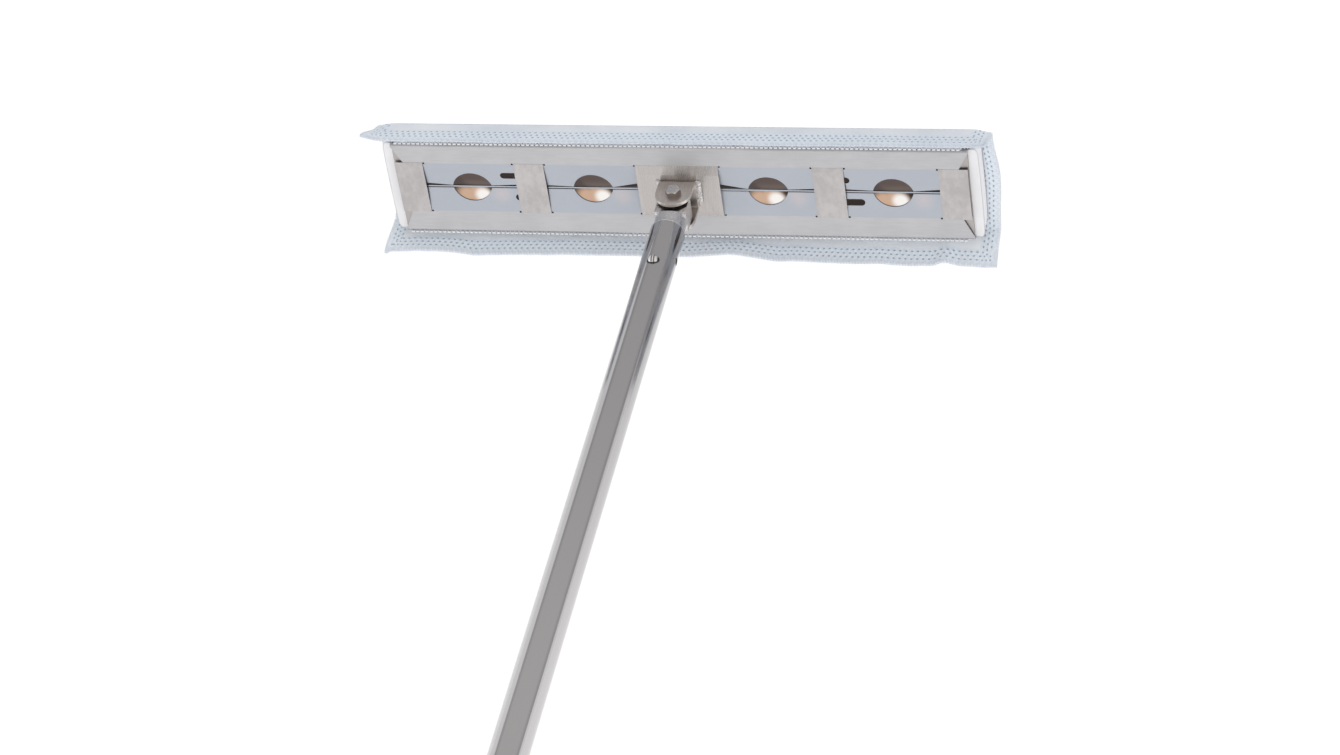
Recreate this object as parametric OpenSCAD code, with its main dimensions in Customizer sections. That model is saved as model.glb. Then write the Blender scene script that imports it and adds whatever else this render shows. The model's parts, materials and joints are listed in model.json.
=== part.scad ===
// Window cleaning pole: a swivelling microfibre head on a two-section telescopic pole.
// X runs along the head, Z is up across the head, and the pad faces +Y.
// The pole runs back along -Y. The origin is the centre of the pad's working face.

/* [Head frame] */
// Length of the stainless frame along X
head_l = 418.6; // [380:1:460]
// Height of the frame along Z
head_h = 78.4; // [70:1:90]
// Depth of the frame from the hook tape's seat to its back face
frame_d = 20; // [18:0.5:24]
// Thickness of the frame's sheet
sheet_t = 1; // [0.8:0.1:1.2]
// Outside radius of the frame's folds
fold_r = 2.2; // [1.5:0.1:3]
// Width of the upper band on the back
band_top = 16.4; // [14:0.2:20]
// Width of the lower band on the back
band_bottom = 19.1; // [15:0.1:21]
// Width of the two end straps
strap_end = 21.7; // [18:0.1:24]
// Width of the two middle straps
strap_mid = 22.3; // [18:0.1:26]
// Width of the centre strap, which carries the hinge
strap_centre = 60.2; // [54:0.1:66]
// Thickness of the straps' sheet
strap_t = 0.6; // [0.5:0.1:1]
// Angle at which the window flaps fold into the frame
flap_angle = 5; // [3:0.5:7]
// Diameter of the round notch in the middle of each window
notch_d = 29.5; // [24:0.5:32]

/* [End caps] */
// Width of a plastic end cap along X, at its middle
cap_w = 6.4; // [5:0.1:10]
// Height of an end cap along Z
cap_h = 76; // [70:1:78]
// Depth by which the end caps sit below the frame's back face
cap_sink = 3.4; // [2:0.1:5]

/* [Pad] */
// Length of the microfibre pad
pad_l = 456; // [440:1:480]
// Height of the pad's working face
pad_h = 88; // [84:1:94]
// Thickness of the pad's pile
pile_t = 2; // [1.5:0.1:2.4]
// Thickness of the pad's backing cloth
backing_t = 1; // [0.8:0.1:1.2]
// Thickness of the hook tape
tape_t = 1; // [0.8:0.1:1.2]
// Distance by which the lower flap's hem stands behind the frame
flare_back = 10; // [6:0.5:14]
// Height by which the lower flap's hem hangs below the pad
flare_drop = 9.2; // [7:0.1:12]

/* [Hinge] */
// Distance from the frame's back face to the swivel bolt's axis
bolt_out = 18; // [17:0.5:20]
// Thickness of the hinge bracket's steel
ear_t = 2.5; // [2:0.1:3]
// Height of the bracket over both ears
bracket_h = 25.5; // [24:0.1:28]
// Width of the bracket's ears along X
ear_w = 25.8; // [24:0.1:28]
// Diameter of the swivel bolt
bolt_d = 6; // [5:1:6]
// Thickness of the lug between the ears
lug_t = 17; // [12:0.5:18]

/* [Pole] */
// Outside diameter of the upper tube
upper_d = 25; // [24:0.5:26]
// Outside diameter of the lower tube
lower_d = 30; // [29.8:0.1:30.6]
// Wall thickness of both tubes
wall = 1.2; // [1:0.1:1.4]
// Length of the upper tube
upper_l = 700; // [700:10:900]
// Length of the lower tube
lower_l = 585; // [560:5:760]
// Distance from the swivel bolt to the upper tube's end
tube_gap = 29.5; // [28:0.5:34]
// Length of the upper tube that stands out of the clamp
exposed_l = 555; // [500:5:560]
// Distance from the upper tube's end to the snap button
button_in = 45.5; // [40:0.5:50]
// Diameter of the snap button
button_d = 7.4; // [6:0.1:8]
// Travel of the snap button
button_travel = 4; // [3.6:0.1:4.2]

/* [Clamp and grip] */
// Outside diameter of the clamp collar
collar_d = 39; // [38:0.5:40]
// Length of the clamp collar
collar_l = 46; // [44:1:50]
// Outside diameter of the hand grip
grip_d = 36; // [35:0.5:38]
// Length of the hand grip
grip_l = 155; // [120:5:180]
// Diameter of the hanging hole
hang_d = 8; // [6:0.5:9]

/* [Hidden] */
$fn = 64;

// Gap that parts are given where they only pass each other
gap = 0.3;
// Radial clearance of a running fit
run_fit = 0.06;

// Depths along Y, from the pad's face backwards
pad_back = -(pile_t + backing_t);
frame_front = pad_back - tape_t;
frame_back = frame_front - frame_d;
bolt_y = frame_back - bolt_out;
tube_y = bolt_y - tube_gap;
button_y = tube_y - button_in;
grub_y = tube_y - 32;
collar_y = tube_y - exposed_l;
lower_y = collar_y - 19;
upper_end = tube_y - upper_l;
lower_end = lower_y - lower_l;

// Heights of the window's folds, and the rib's place between the flaps
fold_top = head_h / 2 - band_top;
fold_bottom = -head_h / 2 + band_bottom;
window_z = (fold_top + fold_bottom) / 2;
window_w = (head_l - 2 * strap_end - 2 * strap_mid - strap_centre) / 4;
window_x = [strap_centre / 2 + window_w / 2,
            strap_centre / 2 + window_w * 3 / 2 + strap_mid];
mitre = 7.4;
rib_t = 1.1;

// Upper flap's free edge, from the centre outwards: distance along X, and height above the rib
upper_edge = [[0, 4.4], [strap_centre / 2, 4.4], [49, 0.4], [79, 0.4], [98, 1.4], [120, 1.4],
              [139, 0.4], [169, 0.4], [188, 2.2], [206, 2.6]];
// Gap between the rib and the lower flap's straight free edge
lower_gap = 0.8;
// Slots in the flaps beside the middle straps: start and end along X, and height from the rib
flap_slots = [[-131.5, -112, 10.4], [105, 123.5, 10.4], [-122.5, -105, -9], [112, 133, -9]];
slot_r = 2.7;
// Radius of the small relief holes at the windows' corners
relief_r = 0.8;
// How far each notch's centre lies past its flap's free edge
notch_in = 2.4;

// Straps: how far they lap onto the bands, and where the centre strap steps up
strap_lap = 0.5;
strap_end_t = 0.1;
strap_taper = 3;
joggle_up = 0.9;
joggle_z = [fold_bottom + 4.8, fold_top - 6.7];

// Pad cloth: height of the top flap above the frame, and the flaps' thickness
flap_top = head_h / 2 + tape_t + 0.3;
flap_t = 2;

// Hinge: the bracket's base, the lug's bush and the washers
bracket_y = frame_back - strap_t - joggle_up;
ear_in = bracket_h / 2 - ear_t;
washer_t = 1.2;
nut_h = 6;
bush_r = 5;
bush_z = lug_t / 2 + 0.1;

// Radii of the pole's parts
upper_r = upper_d / 2;
upper_bore = upper_r - wall;
lower_r = lower_d / 2;
lower_bore = lower_r - wall;
plug_r = upper_bore - 0.05;
plug_end = tube_y - 70;
spring_bore = 7.5;
spring_r = 3.1;
spring_wire = 0.8;
spring_turns = 6;
spring_z = [-6.4, 3.9];

// Clamp: the screw's place beside the tube, and the cam's size
clamp_x = 25.5;
clamp_y = lower_y - 5;
ear_z = 9;
cam_r = 6;
barrel_r = 3.5;
barrel_z = ear_z + 1 + gap + cam_r;
screw_r = 2;
lever_w = 22;
fork_w = 5;
lever_in = collar_d / 2 + 1;
lever_t = 3.6;
lever_start = 62;
lever_sweep = 85;

// Colours
steel = [0.77, 0.77, 0.78];
chrome = [0.62, 0.62, 0.64];
zinc = [0.7, 0.68, 0.66];
black = [0.14, 0.14, 0.15];
white = [0.94, 0.94, 0.96];
ice = [0.84, 0.89, 0.94];

// A cylinder along X that starts at the current origin
module along_x(r, l) {
  rotate([0, 90, 0]) cylinder(r = r, h = l);
}

// A cylinder along Y that starts at the current origin
module along_y(r, l) {
  rotate([-90, 0, 0]) cylinder(r = r, h = l);
}

// A tube along Y between y0 and y1, with y0 behind y1
module ring_y(r_out, r_in, y0, y1) {
  translate([0, y0, 0]) difference() {
    along_y(r_out, y1 - y0);
    translate([0, -1, 0]) along_y(r_in, y1 - y0 + 2);
  }
}

// Extrudes a flat outline drawn as (y, z) along X, centred on x = 0
module extrude_x(l) {
  translate([-l / 2, 0, 0]) rotate([90, 0, 90]) linear_extrude(l) children();
}

// Extrudes a flat outline drawn as (x, z) from y0 to y1
module extrude_y(y0, y1) {
  translate([0, y1, 0]) rotate([90, 0, 0]) linear_extrude(y1 - y0) children();
}

// A flat rectangle between two corners, with round corners
module round_rect(a, b, r) {
  translate([a.x + r, a.y]) square([b.x - a.x - 2 * r, b.y - a.y]);
  translate([a.x, a.y + r]) square([b.x - a.x, b.y - a.y - 2 * r]);
  for (x = [a.x + r, b.x - r], y = [a.y + r, b.y - r])
    translate([x, y]) circle(r = r);
}

// ---- Head ----

module slot(x0, x1, z) {
  for (x = [x0 + slot_r, x1 - slot_r]) translate([x, z]) circle(r = slot_r);
  translate([x0 + slot_r, z - slot_r]) square([x1 - x0 - 2 * slot_r, 2 * slot_r]);
}

// Side view of a window flap, bent into the frame from its fold; it overlaps the band by lap
module flap_profile(fold_z) {
  lap = (fold_z > window_z ? 1 : -1) * 3;
  depth = abs(fold_z - window_z) * tan(flap_angle);
  polygon([[frame_back, fold_z + lap], [frame_back, fold_z], [frame_back + depth, window_z],
           [frame_back + depth + sheet_t, window_z], [frame_back + sheet_t, fold_z],
           [frame_back + sheet_t, fold_z + lap]]);
}

// The strip between the two flaps' free edges
module flap_gap_outline() {
  z0 = window_z + rib_t / 2;
  right = [for (p = upper_edge) [p.x, z0 + p.y]];
  left = [for (i = [len(upper_edge) - 1 : -1 : 1]) [-upper_edge[i].x, z0 + upper_edge[i].y]];
  far_x = upper_edge[len(upper_edge) - 1].x;
  low_z = window_z - rib_t / 2 - lower_gap;
  polygon(concat(left, right, [[far_x, low_z], [-far_x, low_z]]));
}

module frame_channel() {
  flap_l = 2 * (upper_edge[len(upper_edge) - 1].x - 3);
  cut = [frame_back - 1, frame_back + 4];
  color(steel) difference() {
    union() {
      extrude_x(head_l) difference() {
        round_rect([frame_back, -head_h / 2], [frame_front, head_h / 2], fold_r);
        round_rect([frame_back + sheet_t, sheet_t - head_h / 2],
                   [frame_front - sheet_t, head_h / 2 - sheet_t], fold_r - sheet_t);
        translate([frame_back - 1, fold_bottom]) square([2 + sheet_t, fold_top - fold_bottom]);
      }
      for (z = [fold_top, fold_bottom]) extrude_x(flap_l) flap_profile(z);
    }
    extrude_y(cut.x, cut.y) flap_gap_outline();
    for (x = window_x, s = [-1, 1], e = [-1, 1]) intersection() {
      translate([s * x, cut.x, window_z - e * notch_in]) along_y(notch_d / 2, cut.y - cut.x);
      translate([s * x - notch_d, cut.x, window_z + (e - 1) * notch_d / 2])
        cube([2 * notch_d, cut.y - cut.x, notch_d]);
    }
    for (s = flap_slots) extrude_y(cut.x, cut.y) slot(s.x, s.y, window_z + s.z);
    for (x = window_x, s = [-1, 1], e = [-1, 1], z = [fold_top, fold_bottom])
      translate([s * x + e * (window_w / 2 - relief_r), cut.x, z])
        along_y(relief_r, cut.y - cut.x);
    // Mitres at the ends of both bands
    for (s = [-1, 1]) extrude_y(frame_back - 1, frame_back + sheet_t + 0.2)
      polygon([[s * (head_l / 2 - mitre), fold_top], [s * head_l / 2, head_h / 2 - fold_r],
               [s * (head_l / 2 + 1), head_h / 2 - fold_r],
               [s * (head_l / 2 + 1), fold_r - head_h / 2],
               [s * head_l / 2, fold_r - head_h / 2], [s * (head_l / 2 - mitre), fold_bottom]]);
  }
}

// One flat strap over a pair of flaps, welded to both bands, with its top end ground down
module strap(x, w) {
  low = fold_bottom - strap_lap;
  high = fold_top + strap_lap;
  translate([x, frame_back, 0]) extrude_x(w)
    polygon([[-strap_t, low], [0, low], [0, high], [-strap_end_t, high],
             [-strap_t, high - strap_taper]]);
}

module frame_straps() {
  low = fold_bottom - strap_lap;
  high = fold_top + strap_lap;
  end_gap = 0.4;
  color(zinc) {
    for (s = [-1, 1]) {
      strap(s * (head_l / 2 - strap_end / 2 - end_gap), strap_end - 2 * end_gap);
      strap(s * (strap_centre / 2 + window_w + strap_mid / 2), strap_mid);
    }
    // The centre strap steps up towards the hinge bracket
    translate([0, frame_back, 0]) extrude_x(strap_centre)
      polygon([[-strap_t, low], [0, low], [0, fold_bottom], [-joggle_up, joggle_z.x],
               [-joggle_up, joggle_z.y], [0, fold_top], [0, high], [-strap_end_t, high],
               [-strap_t - joggle_up, joggle_z.y], [-strap_t - joggle_up, joggle_z.x]]);
  }
}

// Folded end walls, whose lips show in the mitres at the ends of the bands
module end_walls() {
  lip = 16;
  y0 = frame_back + sheet_t + 0.6;
  color(zinc) for (s = [-1, 1]) scale([s, 1, 1]) {
    translate([head_l / 2 - 0.4 - sheet_t, y0, 1.6 - head_h / 2])
      cube([sheet_t, frame_front - sheet_t - y0, head_h - 3.2]);
    translate([head_l / 2 - 0.4 - lip, y0, fold_top - 2.2])
      cube([lip - sheet_t, sheet_t, head_h / 2 - 1.6 - fold_top + 2.2]);
    translate([head_l / 2 - 0.4 - lip, y0, 1.6 - head_h / 2])
      cube([lip - sheet_t, sheet_t, fold_bottom + head_h / 2 - 1.6 + 2.2]);
  }
}

module centre_rib() {
  l = head_l - 6;
  y0 = frame_back + 1.7;
  foot = 12;
  y1 = frame_front - sheet_t;
  color(steel) {
    translate([-l / 2, y0, window_z - rib_t / 2]) cube([l, y1 - y0, rib_t]);
    translate([-l / 2, y1 - rib_t, window_z - foot]) cube([l, rib_t, foot]);
  }
}

// Plastic end cap with a bowed outer face and a plug that grips the channel's end
module end_cap(side) {
  bow_r = 1200;
  corner = 1.5;
  y0 = frame_back + cap_sink;
  color(white) scale([side, 1, 1]) extrude_y(y0, frame_front) intersection() {
    round_rect([head_l / 2, -cap_h / 2], [head_l / 2 + cap_w, cap_h / 2], corner);
    translate([head_l / 2 + cap_w - bow_r, 0]) circle(r = bow_r, $fn = 720);
  }
}
module end_cap_left() {
  end_cap(-1);
}
module end_cap_right() {
  end_cap(1);
}

module hook_tape_front() {
  l = head_l - 14;
  strip_h = 26;
  color(white) for (z = [-1, 1])
    translate([-l / 2, frame_front, z * 21 - strip_h / 2]) cube([l, tape_t, strip_h]);
}

// Hook tape along the top or the bottom wall, a little in from the frame's back face
module wall_tape(side) {
  l = head_l - 6;
  y0 = frame_back + 5;
  color(white) scale([1, 1, side]) translate([-l / 2, y0, head_h / 2])
    cube([l, 12, tape_t]);
}
module hook_tape_top() {
  wall_tape(1);
}
module hook_tape_bottom() {
  wall_tape(-1);
}

// Backing cloth: behind the pile, back over the top wall, and flared below the bottom wall
module pad_backing() {
  back_z = -pad_h / 2 + 1.5;
  color(ice) extrude_x(pad_l) {
    translate([pad_back, back_z]) square([backing_t, flap_top + flap_t - back_z]);
    translate([frame_back, flap_top]) square([-frame_back + pad_back, flap_t]);
    polygon([[pad_back, back_z + 0.6], [pad_back, back_z + 0.6 + flap_t],
             [frame_back - flare_back, back_z - flare_drop + flap_t],
             [frame_back - flare_back, back_z - flare_drop]]);
  }
}

module pad_pile() {
  color(white) extrude_y(-pile_t, 0)
    round_rect([-pad_l / 2, -pad_h / 2], [pad_l / 2, pad_h / 2], 4);
}

// ---- Hinge ----

// A bracket bent from one strip: a base on the centre strap and two rounded ears
module hinge_bracket() {
  bend_r = 4;
  tip_y = bolt_y - ear_w / 2;
  color(zinc) difference() {
    intersection() {
      extrude_x(ear_w) difference() {
        union() {
          round_rect([bolt_y, -bracket_h / 2], [bracket_y, bracket_h / 2], bend_r);
          translate([tip_y, -bracket_h / 2]) square([bracket_y - bend_r - tip_y, bracket_h]);
        }
        round_rect([tip_y - bend_r, ear_t - bracket_h / 2],
                   [bracket_y - ear_t, bracket_h / 2 - ear_t], bend_r - ear_t);
      }
      union() {
        translate([0, bolt_y, -bracket_h]) cylinder(d = ear_w, h = 2 * bracket_h);
        translate([-ear_w / 2, bolt_y, -bracket_h]) cube([ear_w, bolt_out, 2 * bracket_h]);
      }
    }
    translate([0, bolt_y, -bracket_h]) cylinder(d = bolt_d + 0.3, h = 2 * bracket_h);
  }
}

// Fillet welds along both sides of the bracket's base
module bracket_welds() {
  leg = 2.6;
  l = bracket_h - 3;
  color(zinc) for (s = [-1, 1]) scale([s, 1, 1]) translate([ear_w / 2, bracket_y, -l / 2])
    linear_extrude(l) polygon([[0, 0], [leg, 0], [0, -leg * 0.8]]);
}

// A hexagonal prism of width af across its flats
module hex(af, h) {
  cylinder(r = af / 2 / cos(30), h = h, $fn = 6);
}

// Swivel bolt, with a hexagon head whose corners are chamfered
module swivel_bolt() {
  shank = bracket_h + washer_t + nut_h + 1.5;
  head_af = 10;
  color(chrome) translate([0, bolt_y, bracket_h / 2]) {
    intersection() {
      hex(head_af, 4);
      cylinder(r1 = head_af / 2 + 4.9, r2 = head_af / 2 - 0.2, h = 4);
    }
    translate([0, 0, -shank]) cylinder(d = bolt_d, h = shank);
  }
}

module nut_washer() {
  color(chrome) translate([0, bolt_y, -bracket_h / 2 - washer_t]) difference() {
    cylinder(d = 12, h = washer_t);
    translate([0, 0, -1]) cylinder(d = bolt_d + 0.2, h = washer_t + 2);
  }
}

module swivel_nut() {
  collar = 2;
  color(chrome) translate([0, bolt_y, -bracket_h / 2 - washer_t - nut_h]) difference() {
    union() {
      translate([0, 0, collar]) hex(10, nut_h - collar);
      cylinder(d = 8.6, h = nut_h);
    }
    translate([0, 0, -1]) cylinder(d = bolt_d, h = nut_h + 2);
  }
}

module friction_washers() {
  color(black) for (s = [-1, 1]) scale([1, 1, s]) translate([0, bolt_y, bush_z + 0.2]) difference() {
    cylinder(d = 16, h = ear_in - bush_z - 0.2);
    translate([0, 0, -1]) cylinder(d = bolt_d + 0.3, h = 6);
  }
}

// ---- Upper pole ----

// Cast lug: an eye between the ears, and a round plug in the end of the upper tube
module swivel_lug() {
  scoop_r = 6;
  scoop_y = bolt_y - 13;
  color(zinc) difference() {
    intersection() {
      union() {
        translate([0, bolt_y, -plug_r]) cylinder(r = plug_r, h = 2 * plug_r);
        translate([-plug_r, plug_end, -plug_r]) cube([2 * plug_r, bolt_y - plug_end, 2 * plug_r]);
      }
      union() {
        translate([0, plug_end, 0]) along_y(plug_r, scoop_y - plug_end);
        translate([-plug_r, scoop_y - 3, -lug_t / 2]) cube([2 * plug_r, 40, lug_t]);
      }
    }
    // Scoops between the lug's flats and the round plug
    for (s = [-1, 1]) translate([-plug_r - 1, scoop_y, s * (lug_t / 2 + scoop_r)])
      along_x(scoop_r, 2 * plug_r + 2);
    translate([0, bolt_y, -plug_r]) cylinder(r = bush_r, h = 2 * plug_r);
    translate([0, plug_end - 1, 0]) along_y(spring_bore, button_y + 9 - plug_end + 1);
    translate([0, button_y, 0]) cylinder(r = button_d / 2 + run_fit, h = plug_r + 1);
    translate([4, grub_y, 0]) along_x(2.5, plug_r);
  }
}

module lug_bush() {
  color("goldenrod") translate([0, bolt_y, -bush_z]) difference() {
    cylinder(r = bush_r, h = 2 * bush_z);
    translate([0, 0, -1]) cylinder(r = bolt_d / 2 + run_fit, h = 2 * bush_z + 2);
  }
}

// Set screw that steadies the plug through the hole in the tube's side
module plug_grub_screw() {
  l = 6;
  color(black) translate([plug_r - l - 0.3, grub_y, 0]) difference() {
    along_x(2.5, l);
    translate([l - 2.5, 0, 0]) rotate([0, 90, 0]) hex(2.5, 3);
  }
}

module snap_button() {
  flange_z = spring_z.y + 0.1;
  neck_top = upper_r + 0.9;
  dome_r = 4.2;
  dome_drop = sqrt(dome_r * dome_r - button_d * button_d / 4);
  color(chrome) translate([0, button_y, 0]) {
    translate([0, 0, flange_z]) cylinder(r = 4.6, h = 1);
    translate([0, 0, flange_z]) cylinder(d = button_d, h = neck_top - flange_z);
    intersection() {
      translate([0, 0, neck_top - dome_drop]) sphere(r = dome_r);
      translate([0, 0, neck_top - 0.5]) cylinder(d = button_d, h = dome_r);
    }
  }
}

// Compression spring below the button, swept as one closed coil
function coil_point(t, a) =
  let (turn = 360 * spring_turns * t,
       z = spring_z.x + spring_wire / 2 + (spring_z.y - spring_z.x - spring_wire) * t,
       r = spring_r + spring_wire / 2 * cos(a))
  [r * cos(turn), r * sin(turn), z + spring_wire / 2 * sin(a)];

module button_spring() {
  sides = 8;
  rings = 16 * spring_turns;
  points = [for (i = [0 : rings], j = [0 : sides - 1]) coil_point(i / rings, 360 * j / sides)];
  walls = [for (i = [0 : rings - 1], j = [0 : sides - 1])
    let (k = (j + 1) % sides)
    [i * sides + j, (i + 1) * sides + j, (i + 1) * sides + k, i * sides + k]];
  first = [[for (j = [0 : sides - 1]) j]];
  last = [[for (j = [sides - 1 : -1 : 0]) rings * sides + j]];
  color(chrome) translate([0, button_y, 0]) polyhedron(points, concat(walls, first, last));
}

module upper_tube() {
  color(chrome) difference() {
    ring_y(upper_r, upper_bore, upper_end, tube_y);
    translate([0, button_y, 0]) cylinder(r = button_d / 2 + 0.2, h = upper_r + 1);
    translate([0, grub_y, 0]) along_x(3, upper_r + 1);
  }
}

// Plastic cup on the upper tube's inner end, which slides in the lower tube
module guide_cup() {
  r = lower_bore - run_fit;
  color(black) {
    ring_y(r, upper_r, upper_end, upper_end + 26);
    translate([0, upper_end - 3, 0]) along_y(r, 3);
  }
}

// ---- Lower pole ----

module lower_tube() {
  color(chrome) ring_y(lower_r, lower_bore, lower_end, lower_y);
}

// Plastic sleeve between the two tubes, inside the clamp
module tube_insert() {
  bore = upper_r + run_fit;
  color([0.3, 0.3, 0.32]) {
    ring_y(lower_bore, bore, lower_y - 24, lower_y);
    ring_y(lower_r, bore, lower_y, collar_y - 0.5);
  }
}

module clamp_collar() {
  slit = 2.4;
  back = collar_y - collar_l;
  ear = [clamp_x + 5.5, 28];
  color(black) difference() {
    union() {
      translate([0, back, 0]) along_y(collar_d / 2, collar_l);
      translate([8, clamp_y - ear.y / 2, -ear_z]) cube([ear.x - 8, ear.y, 2 * ear_z]);
    }
    translate([0, back - 1, 0]) along_y(lower_r, collar_l + 2);
    translate([10, back - 1, -slit / 2]) cube([ear.x, collar_l + 2, slit]);
    translate([clamp_x, clamp_y, -ear_z - 1]) cylinder(r = screw_r + 0.15, h = 2 * ear_z + 2);
  }
}

module clamp_screw() {
  l = barrel_z + ear_z + 5.5;
  color(chrome) translate([clamp_x, clamp_y, barrel_z + 2 - l]) cylinder(r = screw_r, h = l - 3);
}

module clamp_nut() {
  color(chrome) translate([clamp_x, clamp_y, -ear_z - 3.2]) difference() {
    hex(7, 3.2);
    translate([0, 0, -1]) cylinder(r = screw_r, h = 6);
  }
}

module cam_washer() {
  color(steel) translate([clamp_x, clamp_y, ear_z]) difference() {
    translate([-4.5, -lever_w / 2, 0]) cube([9, lever_w, 1]);
    translate([0, 0, -1]) cylinder(r = screw_r + 0.15, h = 3);
  }
}

module barrel_pin() {
  color(chrome) difference() {
    translate([clamp_x, clamp_y - lever_w / 2 - 0.5, barrel_z]) along_y(barrel_r, lever_w + 1);
    translate([clamp_x, clamp_y, barrel_z - barrel_r - 1]) cylinder(r = screw_r, h = barrel_r + 3);
  }
}

// Cam lever, closed over the collar: two cheeks on the barrel pin and a curved arm
module lever_arm_outline() {
  intersection() {
    difference() {
      circle(r = lever_in + lever_t, $fn = 96);
      circle(r = lever_in, $fn = 96);
    }
    polygon(concat([[0, 0]], [for (i = [0 : 3])
      let (a = lever_start + lever_sweep * i / 3) 60 * [cos(a), sin(a)]]));
  }
}

module lever_link_outline() {
  polygon([[clamp_x + 1, barrel_z + 5.3], [clamp_x - 3.5, barrel_z - 4],
           (lever_in + 0.6) * [cos(lever_start + 2), sin(lever_start + 2)],
           (lever_in + lever_t - 0.6) * [cos(lever_start + 12), sin(lever_start + 12)]]);
}

module cam_lever() {
  y0 = clamp_y - lever_w / 2;
  y1 = clamp_y + lever_w / 2;
  color([0.12, 0.13, 0.15]) difference() {
    union() {
      extrude_y(y0, y1) lever_arm_outline();
      extrude_y(y0, y1) lever_link_outline();
      translate([clamp_x, y0, barrel_z]) along_y(cam_r, lever_w);
    }
    translate([clamp_x, y0 - 1, barrel_z]) along_y(barrel_r + run_fit, lever_w + 2);
    translate([clamp_x, clamp_y - fork_w / 2, barrel_z]) along_y(cam_r + 2.4, fork_w);
  }
}

module grip_sleeve() {
  pitch = 8;
  groove = 1;
  y0 = lower_end + 12;
  rings = floor((grip_l - 20) / pitch);
  r = grip_d / 2;
  color(black) difference() {
    ring_y(r, lower_r, y0, y0 + grip_l);
    for (i = [0 : rings]) translate([0, y0 + 10 + i * pitch, 0]) rotate([-90, 0, 0])
      rotate_extrude() translate([r, 0]) circle(r = groove, $fn = 24);
  }
}

// End plug with a flat hanging tab
module pole_end_cap() {
  tab_t = 9;
  tab_r = 12;
  hole_y = lower_end - 18;
  color(black) difference() {
    union() {
      translate([0, lower_end, 0]) along_y(lower_bore, 20);
      translate([0, lower_end - 5, 0]) along_y(lower_r + 1, 5);
      translate([-tab_t / 2, hole_y, -tab_r]) cube([tab_t, lower_end - hole_y, 2 * tab_r]);
      translate([-tab_t / 2, hole_y, 0]) along_x(tab_r, tab_t);
    }
    translate([-tab_t, hole_y, 0]) along_x(hang_d / 2, 2 * tab_t);
  }
}

frame_channel();
frame_straps();
end_walls();
centre_rib();
end_cap_left();
end_cap_right();
hook_tape_front();
hook_tape_top();
hook_tape_bottom();
pad_backing();
pad_pile();
hinge_bracket();
bracket_welds();
swivel_bolt();
nut_washer();
swivel_nut();
friction_washers();
swivel_lug();
lug_bush();
plug_grub_screw();
snap_button();
button_spring();
upper_tube();
guide_cup();
lower_tube();
tube_insert();
clamp_collar();
clamp_screw();
clamp_nut();
cam_washer();
barrel_pin();
cam_lever();
grip_sleeve();
pole_end_cap();
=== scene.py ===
"""Window cleaning pole: a microfibre head and its telescopic pole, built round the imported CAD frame."""

import json
import math

import bmesh
import bpy
from mathutils import Matrix, Vector, noise


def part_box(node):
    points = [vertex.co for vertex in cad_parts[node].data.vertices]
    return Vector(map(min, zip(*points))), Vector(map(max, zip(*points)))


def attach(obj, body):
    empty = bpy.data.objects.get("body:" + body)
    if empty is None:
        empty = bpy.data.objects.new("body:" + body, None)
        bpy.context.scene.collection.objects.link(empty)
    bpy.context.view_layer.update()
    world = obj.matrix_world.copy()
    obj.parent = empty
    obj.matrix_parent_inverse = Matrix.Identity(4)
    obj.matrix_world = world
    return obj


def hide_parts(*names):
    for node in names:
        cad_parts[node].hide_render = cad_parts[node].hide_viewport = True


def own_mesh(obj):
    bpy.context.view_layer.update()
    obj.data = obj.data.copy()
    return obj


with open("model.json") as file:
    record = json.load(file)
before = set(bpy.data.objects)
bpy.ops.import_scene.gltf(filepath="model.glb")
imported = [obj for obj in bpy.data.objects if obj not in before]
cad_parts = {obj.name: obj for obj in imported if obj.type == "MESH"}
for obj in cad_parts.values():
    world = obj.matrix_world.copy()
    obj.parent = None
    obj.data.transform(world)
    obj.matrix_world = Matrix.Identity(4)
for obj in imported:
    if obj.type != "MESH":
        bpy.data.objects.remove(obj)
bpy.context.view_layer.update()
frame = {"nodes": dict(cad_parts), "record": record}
nodes = frame["nodes"]
scene = bpy.context.scene
MM = 0.001

# ---- Places read from the CAD frame ----

channel_lo, channel_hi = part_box("frame_channel")
strap_lo, strap_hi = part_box("frame_straps")
pile_lo, pile_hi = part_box("pad_pile")
BACK = channel_lo.y
TOP = channel_hi.z
BOTTOM = channel_lo.z
WINDOW_Z = (strap_lo.z + strap_hi.z) / 2
INNER_WINDOW = 63.9 * MM
OUTER_WINDOW = 153.8 * MM
WINDOWS = (-OUTER_WINDOW, -INNER_WINDOW, INNER_WINDOW, OUTER_WINDOW)
STRAP_LAP = 0.5 * MM
FOLD_TOP = strap_hi.z - STRAP_LAP
FOLD_BOTTOM = strap_lo.z + STRAP_LAP
tube_lo, tube_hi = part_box("upper_tube")
button_lo, button_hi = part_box("snap_button")
TUBE_END = tube_hi.y
BUTTON_Y = (button_lo.y + button_hi.y) / 2
INSIDE = BACK + 3 * MM


# ---- Camera ----

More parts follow.
